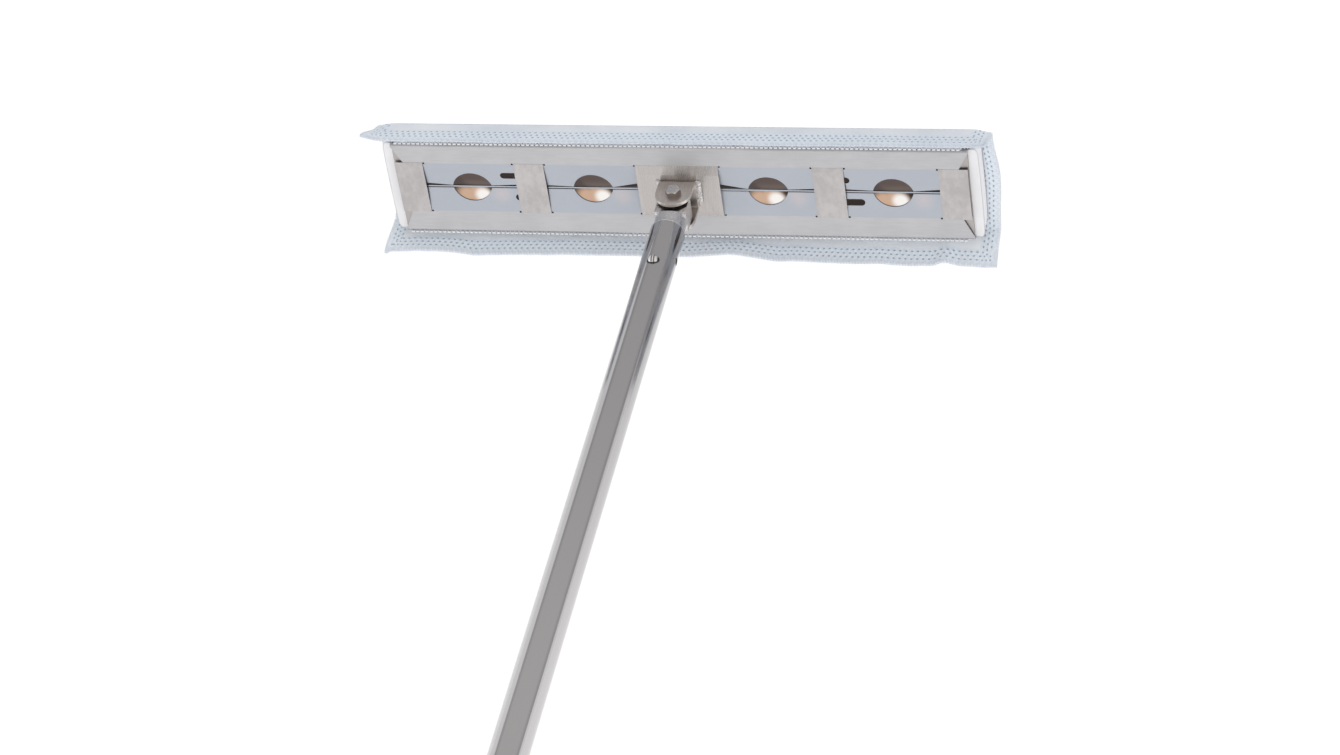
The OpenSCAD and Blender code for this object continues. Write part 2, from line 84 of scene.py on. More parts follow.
def make_camera():
    """The photograph's view: from above the pole, looking along the head's back, rolled a little."""
    azimuth, elevation, roll = (math.radians(a) for a in (16.15, 36.50, -9.40))
    distance = 2.7568
    pivot = Vector((0, BACK, WINDOW_Z))
    away = Vector((math.sin(azimuth) * math.cos(elevation),
                   -math.cos(azimuth) * math.cos(elevation), math.sin(elevation)))
    place = pivot + distance * away
    aim = pivot + Vector((-0.0300, 0, -0.1751))
    ahead = (aim - place).normalized()
    right = ahead.cross(Vector((0, 0, 1))).normalized()
    up = right.cross(ahead)
    right, up = (math.cos(roll) * right + math.sin(roll) * up,
                 math.cos(roll) * up - math.sin(roll) * right)
    data = bpy.data.cameras.new("camera")
    data.sensor_width = 36
    data.lens = 103.85
    data.clip_start = 0.05
    data.clip_end = 400
    camera = bpy.data.objects.new("camera", data)
    scene.collection.objects.link(camera)
    turn = Matrix((right, up, -ahead)).transposed().to_4x4()
    camera.matrix_world = Matrix.Translation(place) @ turn
    scene.camera = camera


make_camera()


# ---- Studio ----

class Nodes:
    """Adds nodes to one node tree in few words."""

    def __init__(self, tree):
        self.tree = tree

    def put(self, socket, value):
        if isinstance(value, bpy.types.NodeSocket):
            self.tree.links.new(value, socket)
        else:
            socket.default_value = value

    def add(self, kind, inputs=None, **props):
        made = self.tree.nodes.new(kind)
        for key, value in props.items():
            setattr(made, key, value)
        for key, value in (inputs or {}).items():
            self.put(made.inputs[key], value)
        return made

    def math(self, operation, a, b=0.0, c=0.0):
        return self.add("ShaderNodeMath", {0: a, 1: b, 2: c}, operation=operation).outputs[0]

    def remap(self, value, a, b, c=0.0, d=1.0, smooth=True):
        kind = "SMOOTHSTEP" if smooth else "LINEAR"
        return self.add("ShaderNodeMapRange", {0: value, 1: a, 2: b, 3: c, 4: d},
                        interpolation_type=kind).outputs[0]

    def mix(self, fac, a, b):
        a, b = (v if isinstance(v, bpy.types.NodeSocket) else (*v, 1.0) for v in (a, b))
        return self.add("ShaderNodeMix", {0: fac, 6: a, 7: b}, data_type="RGBA").outputs[2]

    def axes(self, vector):
        return self.add("ShaderNodeSeparateXYZ", {0: vector}).outputs


def make_world():
    """A white studio: bright low down all round, and a greyer ceiling ahead that the tube mirrors."""
    world = bpy.data.worlds.new("studio")
    scene.world = world
    world.use_nodes = True
    n = Nodes(world.node_tree)
    n.tree.nodes.clear()
    x, y, z = n.axes(n.add("ShaderNodeTexCoord").outputs["Generated"])
    # The bright part reaches higher on the left than on the right
    edge = n.math("MULTIPLY_ADD", x, -0.16, 0.27)
    ceiling = n.remap(n.math("SUBTRACT", z, edge), -0.02, 0.03)
    border = n.remap(n.math("SUBTRACT", z, edge), 0.0, 0.24, 0.40, 0.60)
    ahead = n.remap(y, 0.15, 0.55, 0.66, 0.0)
    above = n.math("MAXIMUM", ahead, border)
    level = n.add("ShaderNodeMix", {0: ceiling, 2: 0.96, 3: above}).outputs[0]
    tint = n.mix(ceiling, (0.985, 0.99, 1.0), (1.0, 0.985, 0.975))
    seen = n.add("ShaderNodeBackground", {0: (1, 1, 1, 1), 1: 1.0}).outputs[0]
    lit = n.add("ShaderNodeBackground", {0: tint, 1: level}).outputs[0]
    camera_ray = n.add("ShaderNodeLightPath").outputs["Is Camera Ray"]
    both = n.add("ShaderNodeMixShader", {0: camera_ray, 1: lit, 2: seen}).outputs[0]
    n.add("ShaderNodeOutputWorld", {0: both})


def make_lights():
    """Wide soft suns that light the scene but aren't mirrored by the metal."""
    suns = (("key", 0.50, 60, -40, 0), ("back", 0.42, 80, 70, -10), ("side", 0.60, 80, 72, 90))
    for name, strength, spread, tilt, turn in suns:
        data = bpy.data.lights.new(name, "SUN")
        data.energy = strength
        data.angle = math.radians(spread)
        sun = bpy.data.objects.new(name, data)
        sun.rotation_euler = (math.radians(tilt), 0, math.radians(turn))
        sun.visible_glossy = False
        scene.collection.objects.link(sun)


def make_floor():
    """A very wide, plain pale floor, well below the pole."""
    drop = 1.0
    radius = 150.0
    glow = 0.22
    bm = bmesh.new()
    bmesh.ops.create_circle(bm, cap_ends=True, radius=radius, segments=96)
    mesh = bpy.data.meshes.new("floor")
    bm.to_mesh(mesh)
    bm.free()
    floor = bpy.data.objects.new("floor", mesh)
    floor.location = (0, 0, -drop)
    scene.collection.objects.link(floor)
    mat = bpy.data.materials.new("floor")
    mat.use_nodes = True
    n = Nodes(mat.node_tree)
    place = n.add("ShaderNodeTexCoord").outputs["Object"]
    mottle = n.add("ShaderNodeTexNoise", {"Vector": place, "Scale": 3.0}).outputs[0]
    bsdf = mat.node_tree.nodes["Principled BSDF"]
    n.put(bsdf.inputs["Base Color"], n.mix(mottle, (0.93, 0.93, 0.93), (0.95, 0.95, 0.95)))
    bsdf.inputs["Roughness"].default_value = 0.9
    bsdf.inputs["Specular IOR Level"].default_value = 0.1
    bsdf.inputs["Emission Color"].default_value = (1, 1, 1, 1)
    bsdf.inputs["Emission Strength"].default_value = glow
    mesh.materials.append(mat)


scene.view_settings.view_transform = "Standard"
make_world()
make_lights()
make_floor()


# ---- Materials ----

class Finish(Nodes):
    """One material. Textures read the row frame's own coordinates, so they move with the pieces."""

    def __init__(self, name, colour, rough, metallic=0.0):
        self.mat = bpy.data.materials.new(name)
        self.mat.use_nodes = True
        super().__init__(self.mat.node_tree)
        self.bsdf = self.mat.node_tree.nodes["Principled BSDF"]
        self.place = self.add("ShaderNodeTexCoord").outputs["Object"]
        self.set("Base Color", (*colour, 1))
        self.set("Roughness", rough)
        self.set("Metallic", metallic)

    def set(self, name, value):
        self.put(self.bsdf.inputs[name], value)

    def grain(self, scale, stretch=(1, 1, 1), detail=3.0, rough=0.55):
        """Noise of so many cells per metre, drawn out along an axis whose stretch is small."""
        vector = self.add("ShaderNodeVectorMath", {0: self.place, 1: stretch},
                          operation="MULTIPLY").outputs[0]
        return self.add("ShaderNodeTexNoise", {"Vector": vector, "Scale": scale, "Detail": detail,
                                               "Roughness": rough}).outputs[0]

    def near(self, x, z, inner, outer):
        """One close to a line along Y through (x, z), and none beyond the outer radius."""
        flat = self.add("ShaderNodeVectorMath", {0: self.place, 1: (1, 0, 1)},
                        operation="MULTIPLY").outputs[0]
        gap = self.add("ShaderNodeVectorMath", {0: flat, 1: (x, 0, z)},
                       operation="DISTANCE").outputs["Value"]
        return self.remap(gap, outer, inner)

    def edge(self, radius):
        """Softened edges, as a normal."""
        return self.add("ShaderNodeBevel", {0: radius}, samples=4).outputs[0]

    def bump(self, height, strength, depth, normal=None):
        made = self.add("ShaderNodeBump", {"Height": height, "Strength": strength, "Distance": depth})
        if normal is not None:
            self.put(made.inputs["Normal"], normal)
        return made.outputs[0]


def metal(name, dark, light, rough, grain_scale, stretch, depth, bevel=0.3, strength=0.25):
    """Bare metal: colour and gloss vary along its grain, and its edges are eased."""
    f = Finish(name, light, rough, 1.0)
    streaks = f.grain(grain_scale, stretch)
    patches = f.grain(38, (1, 1, 1), 4.0)
    mask = f.math("MULTIPLY_ADD", streaks, 0.5, f.math("MULTIPLY", patches, 0.5))
    f.set("Base Color", f.mix(f.remap(mask, 0.35, 0.65), dark, light))
    f.set("Roughness", f.remap(mask, 0.3, 0.7, rough * 1.25, rough * 0.85, smooth=False))
    f.set("Normal", f.bump(streaks, strength, depth, f.edge(bevel * MM)))
    return f


def moulded(name, dark, light, rough, grain_scale=900, depth=0.05 * MM, bevel=0.5):
    """Moulded plastic or rubber with a fine grain."""
    f = Finish(name, light, rough)
    grain = f.grain(grain_scale, detail=4.0)
    f.set("Base Color", f.mix(f.grain(60), dark, light))
    f.set("Roughness", f.remap(grain, 0.3, 0.7, rough * 0.9, min(1.0, rough * 1.15), smooth=False))
    f.set("Normal", f.bump(grain, 0.3, depth, f.edge(bevel * MM)))
    return f


def inside_glow(f, within, z):
    """Painted light inside: dim on the rib, dark away from the notches, bright below every notch."""
    low = -19 * MM
    dim = f.mix(f.remap(z, -6 * MM, -1 * MM), (0.045, 0.038, 0.035), (0.085, 0.068, 0.064))
    dim = f.mix(f.remap(z, 9.5 * MM, 11.5 * MM), dim, (0.19, 0.165, 0.155))
    seen = 0.0
    for x in WINDOWS:
        seen = f.math("MAXIMUM", seen, f.near(x, WINDOW_Z, 14.5 * MM, 17 * MM))
    dim = f.mix(seen, (0.03, 0.024, 0.022), dim)
    for x in WINDOWS:
        warm = f.math("MAXIMUM", f.near(x - 11 * MM, low, 3 * MM, 12 * MM),
                      f.near(x - 4 * MM, low, 4 * MM, 14 * MM))
        dim = f.mix(warm, dim, (0.62, 0.42, 0.30))
        dim = f.mix(f.near(x + 1 * MM, low - 0.6 * MM, 3 * MM, 8.5 * MM), dim, (0.96, 0.93, 0.90))
    f.set("Emission Color", dim)
    f.set("Emission Strength", f.math("MULTIPLY", within, 0.95))


def sheet_steel():
    """Satin sheet: neutral bands, flaps with a painted cool reflection and a painted pink one by each
    notch, painted light inside.
    """
    f = metal("stainless_sheet", (0.50, 0.50, 0.515), (0.54, 0.54, 0.555), 0.34, 700,
              (0.1, 1, 1), 0.01 * MM, 0.25, 0.12)
    x, y, z = f.axes(f.place)
    inside = f.math("MULTIPLY", f.remap(z, FOLD_BOTTOM - 0.2 * MM, FOLD_BOTTOM + 0.2 * MM),
                    f.remap(z, FOLD_TOP + 0.2 * MM, FOLD_TOP - 0.2 * MM))
    # The flaps are painted cooler than the bands, standing in for the light they reflect.
    flap_painted_reflection = f.mix(f.grain(22), (0.43, 0.46, 0.515), (0.475, 0.505, 0.56))
    # A painted pink reflection beside every notch on the flaps.
    for window in WINDOWS:
        pink_painted_reflection = f.math("MULTIPLY", f.near(window + 21 * MM, -5 * MM, 0.0, 11 * MM), 0.45)
        flap_painted_reflection = f.mix(pink_painted_reflection, flap_painted_reflection, (0.66, 0.575, 0.57))
    band = f.bsdf.inputs["Base Color"].links[0].from_socket
    outer = f.mix(inside, band, flap_painted_reflection)
    within = f.remap(y, INSIDE - 0.1 * MM, INSIDE + 0.1 * MM)
    # Inside the frame the steel is painted darker and warmer, as shade; inside_glow paints light on it.
    f.set("Base Color", f.mix(within, outer, (0.40, 0.36, 0.33)))
    satin = f.bsdf.inputs["Roughness"].links[0].from_socket
    f.set("Roughness", f.add("ShaderNodeMix", {0: within, 2: satin, 3: 0.2}).outputs[0])
    # The hinge is mirrored more weakly than bare metal would, as on a satin film
    centre = f.math("MULTIPLY", f.remap(f.math("ABSOLUTE", x), 75 * MM, 30 * MM),
                    f.remap(y, INSIDE + 0.1 * MM, INSIDE - 0.1 * MM))
    f.set("Metallic", f.math("MULTIPLY_ADD", centre, -0.8, 1.0))
    inside_glow(f, within, z)
    return f.mat


def strap_steel():
    """Mottled mill finish on the straps, brushed under the hinge, with painted shade on the end walls'
    lips.
    """
    f = metal("stainless_straps", (0.475, 0.452, 0.452), (0.565, 0.542, 0.545), 0.4, 260,
              (1, 1, 0.6), 0.02 * MM, 0.2, 0.18)
    x, y = f.axes(f.place)[:2]
    outer = f.remap(f.math("ABSOLUTE", x), 27 * MM, 33 * MM)
    speck = f.remap(f.grain(500), 0.3, 0.7, 0.34, 0.46, smooth=False)
    brushed = f.remap(f.grain(900, (1, 1, 0.02)), 0.3, 0.7, 0.25, 0.29, smooth=False)
    f.set("Roughness", f.add("ShaderNodeMix", {0: outer, 2: brushed, 3: speck}).outputs[0])
    mottled = f.bsdf.inputs["Base Color"].links[0].from_socket
    lines = f.mix(f.remap(f.grain(1300, (1, 1, 0.015)), 0.2, 0.8), (0.52, 0.49, 0.475),
                  (0.555, 0.525, 0.51))
    # The end walls' lips are painted darker, as shade.
    lip = f.remap(y, BACK + 0.9 * MM, BACK + 1.1 * MM)
    plain = f.mix(outer, lines, mottled)
    f.set("Base Color", f.mix(lip, plain, (0.46, 0.435, 0.425)))
    upright = f.add("ShaderNodeVectorTransform", {0: (0, 0, 1)}, vector_type="VECTOR",
                    convert_from="OBJECT", convert_to="WORLD").outputs[0]
    f.set("Tangent", upright)
    f.set("Anisotropic", f.math("SUBTRACT", 1.0, outer))
    return f.mat


def cast_steel(name, dark, light, rough):
    """A speckled, lumpy surface: small facets with painted highlights between pits with painted shade."""
    f = Finish(name, light, rough, 0.2)
    cell = f.add("ShaderNodeTexVoronoi", {"Vector": f.place, "Scale": 900.0}).outputs["Distance"]
    lump = f.grain(700, detail=3.0)
    speck = f.math("MULTIPLY_ADD", cell, 0.6, f.math("MULTIPLY", lump, 0.6))
    # The colour follows the speckle that makes the bumps: painted highlights on facets, painted shade in
    # pits.
    f.set("Base Color", f.mix(f.remap(speck, 0.35, 0.75), light, dark))
    f.set("Roughness", f.remap(lump, 0.3, 0.7, rough * 0.7, rough * 1.3, smooth=False))
    f.set("Normal", f.bump(speck, 0.55, 0.16 * MM, f.edge(0.35 * MM)))
    return f.mat


def plated(name):
    """Plated hexagons: speckled on top, with painted shade darkening them down their sides."""
    f = metal(name, (0.46, 0.44, 0.43), (0.97, 0.94, 0.93), 0.24, 1500, (1, 1, 1), 0.10 * MM,
              0.3, 0.8)
    top = f.bsdf.inputs["Base Color"].links[0].from_socket
    # Faces turned away from the top are painted dark, as shade.
    painted_shade_by_facing = f.axes(f.add("ShaderNodeNewGeometry").outputs["Normal"])[2]
    f.set("Base Color", f.mix(f.remap(painted_shade_by_facing, 0.25, 0.6), (0.30, 0.26, 0.24), top))
    return f.mat


def button_chrome():
    """Bright plating on the domed button, with painted dark reflections in streaks beside a thin
    highlight, and painted shade round its edge.
    """
    f = metal("button_chrome", (0.86, 0.85, 0.85), (0.97, 0.96, 0.96), 0.08, 600, (1, 1, 1),
              0.01 * MM, 0.15, 0.1)
    x = f.axes(f.place)[0]
    off = f.math("ABSOLUTE", f.math("SUBTRACT", x, 0.3 * MM))
    # Painted dark reflections in two streaks beside the highlight, and painted shade round the dome's
    # edge.
    dark_painted_reflection = f.math("MULTIPLY", f.remap(off, 0.3 * MM, 0.6 * MM), f.remap(off, 1.5 * MM, 1.0 * MM))
    rim = f.remap(off, 2.7 * MM, 3.3 * MM)
    plating = f.bsdf.inputs["Base Color"].links[0].from_socket
    f.set("Base Color", f.mix(f.math("MAXIMUM", dark_painted_reflection, rim), plating, (0.20, 0.19, 0.19)))
    return f.mat


def tube_steel():
    """Drawn tube with faint lines along it, painted darker towards the head as reflection and shade, a
    painted highlight on its end ring.
    """
    f = Finish("polished_tube", (0.52, 0.51, 0.51), 0.1, 1.0)
    y, z = f.axes(f.place)[1:]
    lines = f.grain(2600, (1, 0.004, 1), 2.0)
    haze = f.grain(14, (1, 0.3, 1))
    # Painted reflection and shade: darker towards the head, lighter further down the tube.
    near_head_painted_tone = f.mix(haze, (0.43, 0.422, 0.43), (0.47, 0.462, 0.47))
    bright = f.mix(haze, (0.55, 0.54, 0.545), (0.59, 0.58, 0.585))
    drawn = f.mix(f.remap(y, -120 * MM, -560 * MM, smooth=False), near_head_painted_tone, bright)
    # A painted highlight on the ring at the tube's end.
    rim = f.remap(y, TUBE_END - 0.9 * MM, TUBE_END - 0.5 * MM)
    # A painted dark ring of shade round the button.
    flat = f.add("ShaderNodeVectorMath", {0: f.place, 1: (1, 1, 0)}, operation="MULTIPLY").outputs[0]
    gap = f.add("ShaderNodeVectorMath", {0: flat, 1: (0, BUTTON_Y, 0)},
                operation="DISTANCE").outputs["Value"]
    ring = f.math("MULTIPLY", f.remap(gap, 4.9 * MM, 4.3 * MM), f.remap(z, 0.0, 4 * MM))
    drawn = f.mix(ring, drawn, (0.10, 0.10, 0.10))
    f.set("Base Color", f.mix(rim, drawn, (0.97, 0.96, 0.96)))
    f.set("Roughness", f.remap(lines, 0.3, 0.7, 0.08, 0.15, smooth=False))
    f.set("Normal", f.bump(lines, 0.12, 0.01 * MM, f.edge(0.45 * MM)))
    return f.mat


def cloth_finish(name, dark, light, wales, courses, depth, sheen):
    """Knitted cloth: rows of small stitches. Its mesh says where it is tape, pit or inner face."""
    f = Finish(name, light, 0.92)
    x, y, z = f.axes(f.place)
    along = f.math("SINE", f.math("MULTIPLY", x, 2 * math.pi * wales))
    run = f.math("SUBTRACT", z, y)
    across = f.math("SINE", f.math("MULTIPLY", run, 2 * math.pi * courses))
    knit = f.math("MULTIPLY_ADD", f.math("MULTIPLY", along, across), 0.5, 0.5)
    fuzz = f.grain(1500, detail=4.0)
    height = f.math("MULTIPLY_ADD", knit, 0.6, f.math("MULTIPLY", fuzz, 0.6))
    shade = f.math("MULTIPLY_ADD", f.grain(30), 0.5, f.math("MULTIPLY", height, 0.5))
    colour = f.mix(f.remap(shade, 0.3, 0.7), dark, light)
    wave = f.math("SINE", f.math("MULTIPLY", run, 2 * math.pi * 170))
    zigzag = f.math("SINE", f.math("MULTIPLY_ADD", x, 2 * math.pi * 232, f.math("MULTIPLY", wave, 2.2)))
    tape = f.mix(f.math("MULTIPLY_ADD", zigzag, 0.5, 0.5), (0.60, 0.69, 0.80), (0.76, 0.83, 0.91))
    # The pits' dark tint is painted shade in their hollows.
    for mark, strength, tint in (("inner", 0.75, (0.95, 0.975, 1.0)), ("tape", 0.5, tape),
                                 ("pit", 0.9, (0.30, 0.40, 0.52))):
        amount = f.add("ShaderNodeAttribute", attribute_name=mark).outputs["Fac"]
        colour = f.mix(f.math("MULTIPLY", amount, strength), colour, tint)
    f.set("Base Color", colour)
    f.set("Sheen Weight", sheen)
    f.set("Sheen Roughness", 0.5)
    f.set("Specular IOR Level", 0.2)
    f.set("Normal", f.bump(height, 0.55, depth))
    return f.mat


FINISHES = {
    "stainless_sheet": sheet_steel(),
    "stainless_straps": strap_steel(),
    "bracket_steel": metal("bracket_steel", (0.62, 0.565, 0.525), (0.76, 0.705, 0.665), 0.3, 900,
                           (1, 0.08, 1), 0.03 * MM, 0.5).mat,
    "weld_metal": cast_steel("weld_metal", (0.52, 0.50, 0.49), (1.0, 0.99, 0.98), 0.35),
    "plated_fasteners": plated("plated_fasteners"),
    "spring_steel": metal("spring_steel", (0.45, 0.45, 0.46), (0.6, 0.6, 0.62), 0.3, 1200,
                          (1, 1, 1), 0.02 * MM, 0.1).mat,
    "black_steel": metal("black_steel", (0.05, 0.05, 0.05), (0.10, 0.10, 0.11), 0.42, 1200,
                         (1, 1, 1), 0.03 * MM, 0.15).mat,
    "bush_bronze": metal("bush_bronze", (0.55, 0.36, 0.16), (0.72, 0.5, 0.26), 0.34, 900,
                         (1, 1, 0.1), 0.03 * MM, 0.2).mat,
    "cast_lug": metal("cast_lug", (0.42, 0.41, 0.41), (0.80, 0.78, 0.78), 0.2, 900,
                      (1, 1, 1), 0.16 * MM, 0.6, 0.7).mat,
    "polished_tube": tube_steel(),
    "white_plastic": moulded("white_plastic", (0.83, 0.83, 0.85), (0.88, 0.88, 0.90), 0.38).mat,
    "hook_tape": moulded("hook_tape", (0.74, 0.76, 0.79), (0.86, 0.87, 0.90), 0.6, 1200,
                         0.2 * MM, 0.1).mat,
    "pad_backing_cloth": cloth_finish("pad_backing_cloth", (0.58, 0.635, 0.72),
                                      (0.78, 0.815, 0.865), 900, 620, 0.12 * MM, 0.35),
    "microfibre_pile": cloth_finish("microfibre_pile", (0.50, 0.56, 0.64),
                                    (0.76, 0.80, 0.86), 230, 190, 0.6 * MM, 0.5),
    "black_rubber": moulded("black_rubber", (0.028, 0.028, 0.03), (0.042, 0.042, 0.045), 0.72,
                            1400, 0.12 * MM, 0.6).mat,
    "black_plastic": moulded("black_plastic", (0.03, 0.03, 0.032), (0.05, 0.05, 0.053), 0.42).mat,
    "grey_plastic": moulded("grey_plastic", (0.11, 0.11, 0.12), (0.16, 0.16, 0.17), 0.45).mat,
    "lever_plastic": moulded("lever_plastic", (0.035, 0.037, 0.04), (0.06, 0.063, 0.07), 0.35).mat,
}

SLOT_OF = {}
for part in frame["record"]["subparts"]:
    SLOT_OF[part["node"]] = part["material_slot"]
for name, obj in nodes.items():
    obj.data.materials.clear()
    obj.data.materials.append(FINISHES[SLOT_OF[name]])
nodes["snap_button"].data.materials[0] = button_chrome()


# ---- Helpers for new pieces ----

def new_piece(name, mesh, slot, body):
    """A mesh as a piece of the object, with its slot's finish, that rides on a body."""
    obj = bpy.data.objects.new(name, mesh)
    scene.collection.objects.link(obj)
    mesh.materials.append(FINISHES[slot])
    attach(obj, body)
    return obj


def mesh_from(name, points, faces, smooth=True):
    mesh = bpy.data.meshes.new(name)
    mesh.from_pydata([tuple(p) for p in points], [], faces)
    mesh.validate()
    for face in mesh.polygons:
        face.use_smooth = smooth
    mesh.update()
    return mesh


def box_faces(columns):
    """Side faces between rings of four points, with both ends closed."""
    faces = []
    for k in range(columns - 1):
        for i in range(4):
            m = (i + 1) % 4
            faces.append((4 * k + i, 4 * k + m, 4 * k + 4 + m, 4 * k + 4 + i))
    return faces + [(3, 2, 1, 0), tuple(4 * (columns - 1) + i for i in range(4))]


def face_outwards(mesh):
    """Turns a closed mesh's faces to the outside."""
    bm = bmesh.new()
    bm.from_mesh(mesh)
    bmesh.ops.recalc_face_normals(bm, faces=bm.faces)
    bm.to_mesh(mesh)
    bm.free()


def smoothstep(t):
    t = max(0.0, min(1.0, t))
    return t * t * (3 - 2 * t)


def spread(stops, t):
    """Reads a list of (place, value) stops at t, smoothly."""
    if t <= stops[0][0]:
        return stops[0][1]
    for (a, va), (b, vb) in zip(stops, stops[1:]):
        if t <= b:
            return va + (vb - va) * smoothstep((t - a) / (b - a))
    return stops[-1][1]


def ripple(x, y, seed):
    """Smooth noise between -1 and 1."""
    return noise.noise(Vector((x, y, seed)))


# ---- Pad cloth ----

PAD_HALF = 230 * MM
FINE = 1.45 * MM
FINE_STEPS = 8
# The knitted tape and its thick hem, counted in the cloth's cells from its edge
TAPE_CELLS = 9
HEM_CELLS = 2
# The tape's rows of pits, and whether a row's pits sit on even (0) or odd (1) cells
PIT_ROWS = {3: 0, 5: 1, 7: 0}


def round_path(corners, passes=4):
    """Cuts a path's corners until it is smooth, and keeps its ends."""
    path = [Vector(p) for p in corners]
    for _ in range(passes):
        cut = [path[0]]
        for a, b in zip(path, path[1:]):
            cut += [a.lerp(b, 0.25), a.lerp(b, 0.75)]
        path = cut + [path[-1]]
    return path


def stations(length, middle):
    """Places along a length: fine steps near both ends, and even ones between."""
    near = [k * FINE for k in range(FINE_STEPS)]
    first = FINE_STEPS * FINE
    even = [first + (length - 2 * first) * k / middle for k in range(middle + 1)]
    return near + even + [length - d for d in reversed(near)]


def sample_path(path, middle):
    """Points along a path at its stations, and the stations as shares of its length."""
    runs = [0.0]
    for a, b in zip(path, path[1:]):
        runs.append(runs[-1] + (b - a).length)
    points = []
    k = 0
    places = stations(runs[-1], middle)
    for at in places:
        while k < len(path) - 2 and runs[k + 1] < at:
            k += 1
        span = max(runs[k + 1] - runs[k], 1e-9)
        points.append(path[k].lerp(path[k + 1], (at - runs[k]) / span))
    return points, [at / runs[-1] for at in places]


CLOTH_Y = pile_lo.y - 0.1 * MM
SECTION = round_path([
    (BACK - 0.3 * MM, TOP + 3.9 * MM), (BACK + 8 * MM, TOP + 3.3 * MM),
    (CLOTH_Y - 5 * MM, TOP + 3.6 * MM), (CLOTH_Y - 0.6 * MM, TOP + 3.4 * MM),
    (CLOTH_Y, TOP + 0.6 * MM), (CLOTH_Y, TOP - 12 * MM), (CLOTH_Y, BOTTOM + 12 * MM),
    (CLOTH_Y, BOTTOM - 1.0 * MM), (CLOTH_Y - 1.0 * MM, BOTTOM - 3.8 * MM),
    (CLOTH_Y - 8 * MM, BOTTOM - 5.0 * MM), (BACK + 2 * MM, BOTTOM - 7.6 * MM),
    (BACK - 10 * MM, BOTTOM - 12.2 * MM)])
section, DOWN = sample_path(SECTION, 52)
ALONG = [x / PAD_HALF - 1 for x in stations(2 * PAD_HALF, 200)]
ROWS = len(DOWN) - 1
COLS = len(ALONG) - 1

# Half lengths of the cloth, from its top hem over the pad's front to its bottom hem
LEFT = [(0.0, 0.2300), (0.17, 0.2225), (0.45, 0.2222), (0.70, 0.2225), (0.80, 0.2250), (1.0, 0.2272)]
RIGHT = [(0.0, 0.2225), (0.17, 0.2240), (0.45, 0.2270), (0.76, 0.2245), (1.0, 0.2238)]
# How far the bottom hem lifts or droops, in millimetres, along X
HEM_LIFTS = [(-0.228, -2.6), (-0.222, 0.2), (-0.196, 0.5), (-0.178, -0.2), (-0.158, -1.9),
             (-0.121, -0.7), (-0.052, 0.7), (-0.004, 0.5), (0.030, 3.8), (0.068, -0.9),
             (0.126, -1.7), (0.177, -2.3), (0.186, 1.2), (0.197, -1.4), (0.223, -2.5)]


def cloth_start():
    """The cloth laid over the pad: a list of rows of points, top hem first."""
    grid = []
    for j, centre in enumerate(section):
        t = DOWN[j]
        left, right = spread(LEFT, t), spread(RIGHT, t)
        top_hem = smoothstep((0.16 - t) / 0.16)
        bottom_hem = smoothstep((t - 0.76) / 0.24)
        row = []
        for u in ALONG:
            x = u * (left if u < 0 else right)
            p = Vector((x, centre.x, centre.y))
            beyond = max(0.0, abs(x) - 0.209)
            # The corners of the folded edges are rounded, and the hems' ends curl outwards
            fold = smoothstep((0.30 - abs(t - 0.17)) / 0.30) * (1 - top_hem)
            p.z -= fold * 6.5 * MM * (beyond / (21 * MM)) ** 2
            p.z += top_hem * 4.0 * MM * (beyond / (21 * MM)) ** 2
            p.z += top_hem * (0.35 * ripple(x * 26, t, 1.7) + 0.25 * ripple(x * 70, t, 9.1)) * MM
            lift = spread(HEM_LIFTS, x) + 0.45 * ripple(x * 110, t * 2, 4.2) - 7.0 * x
            p.z += bottom_hem * lift * MM
            p.y += bottom_hem * 0.9 * ripple(x * 40, t * 3, 7.7) * MM
            row.append(p)
        grid.append(row)
    return grid


def grid_mesh(name, grid):
    wide = len(grid[0])
    points = [p for row in grid for p in row]
    faces = [(j * wide + i, (j + 1) * wide + i, (j + 1) * wide + i + 1, j * wide + i + 1)
             for j in range(len(grid) - 1) for i in range(wide - 1)]
    return mesh_from(name, points, faces)


def hold_cloth(obj, grid):
    """Pins the settling cloth where the hook tape holds it, and lightly at its top hem."""
    held = obj.vertex_groups.new(name="held")
    for j, row in enumerate(grid):
        t = DOWN[j]
        grip = smoothstep((t - 0.02) / 0.05) * smoothstep((0.80 - t) / 0.04)
        top = 0.5 if t < 0.1 else 0.0
        for i, p in enumerate(row):
            end = smoothstep((abs(p.x) - 0.212) / 0.01)
            held.add([j * len(row) + i], max(top, grip * (1 - 0.5 * end)), "REPLACE")


def relax_cloth(grid, most=2.2 * MM, frames=16):
    """Lets the free hems settle under their own weight, held where the hook tape holds the cloth."""
    wide = len(grid[0])
    mesh = grid_mesh("settling", grid)
    obj = bpy.data.objects.new("settling", mesh)
    scene.collection.objects.link(obj)
    hold_cloth(obj, grid)
    cloth = obj.modifiers.new("cloth", "CLOTH")
    cloth.settings.quality = 6
    cloth.settings.mass = 0.25
    cloth.settings.tension_stiffness = 40
    cloth.settings.compression_stiffness = 20
    cloth.settings.shear_stiffness = 15
    cloth.settings.bending_stiffness = 4
    cloth.settings.vertex_group_mass = "held"
    cloth.settings.pin_stiffness = 1.0
    cloth.collision_settings.use_collision = False
    cloth.point_cache.frame_start = 1
    cloth.point_cache.frame_end = frames
    for at in range(1, frames + 1):
        scene.frame_set(at)
    graph = bpy.context.evaluated_depsgraph_get()
    settled = obj.evaluated_get(graph).data
    for j, row in enumerate(grid):
        for i, p in enumerate(row):
            move = settled.vertices[j * wide + i].co - p
            if move.length > most:
                move *= most / move.length
            row[i] = p + move
    bpy.data.objects.remove(obj)
    scene.frame_set(1)
    return grid


